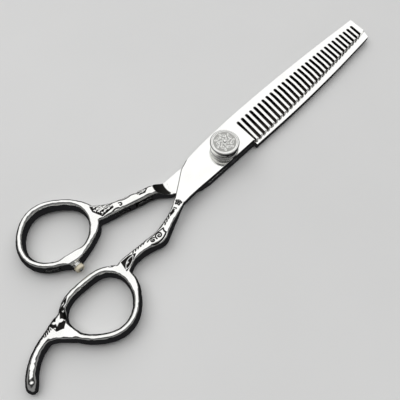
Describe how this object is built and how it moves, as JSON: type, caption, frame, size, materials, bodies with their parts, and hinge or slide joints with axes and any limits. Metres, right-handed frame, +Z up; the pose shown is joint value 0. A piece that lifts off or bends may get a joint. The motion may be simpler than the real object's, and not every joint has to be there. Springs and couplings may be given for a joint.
{
  "type": "thinning shears",
  "caption": "Hairdresser's thinning shears with a comb blade, a straight blade, a pivot tension dial, two finger rings, a finger rest and a bumper.",
  "frame": {"origin": "on the pivot axis, in the plane the closed shears lie on", "axes": "+X from the pivot to the blade tips along the comb blade, +Y towards the thumb ring, +Z up through the tension dial"},
  "size_m": [0.179, 0.0537, 0.0104],
  "materials": {
    "blade_steel": "mirror-polished stainless steel",
    "handle_steel": "polished cast steel with engraved scrolls, dark in the cuts",
    "dial_steel": "polished, with a shallow relief on the face",
    "hardware_steel": "fine turned",
    "bush_bronze": "plain bearing bronze",
    "washer_plastic": "low-friction plastic",
    "bumper_plastic": "cream, slightly translucent"
  },
  "bodies": {
    "finger_half": {"comb_blade": "blade_steel", "finger_handle": "handle_steel", "pivot_bush": "bush_bronze", "dial_seat": "hardware_steel"},
    "thumb_half": {"cutting_blade": "blade_steel", "thumb_handle": "handle_steel", "pivot_bolt": "hardware_steel", "blade_washer": "washer_plastic", "bumper_socket": "handle_steel", "bumper": "bumper_plastic", "bumper_pin": "hardware_steel", "spring_washer": "hardware_steel"},
    "clicker": {"click_plate": "hardware_steel"},
    "dial": {"dial_nut": "bush_bronze", "dial_shell": "dial_steel", "dial_cap": "dial_steel", "cap_pin": "dial_steel"}
  },
  "joints": [
    {"name": "blade_pivot", "type": "hinge", "parent": "finger_half", "child": "thumb_half", "pos_m": [0, 0, 0.003], "axis": [0, 0, 1], "range_deg": [-60, 2.2]},
    {"name": "dial_travel", "type": "slide", "parent": "thumb_half", "child": "clicker", "axis": [0, 0, 1], "range_m": [-0.000125, 0.000125], "deforming": ["spring_washer"]},
    {"name": "dial_turn", "type": "hinge", "parent": "clicker", "child": "dial", "pos_m": [0, 0, 0.0085], "axis": [0, 0, 1], "range_deg": [-90, 90]}
  ],
  "couplings": [
    {"joint": "dial_turn", "follows": "dial_travel", "rad_per_m": 12566}
  ]
}
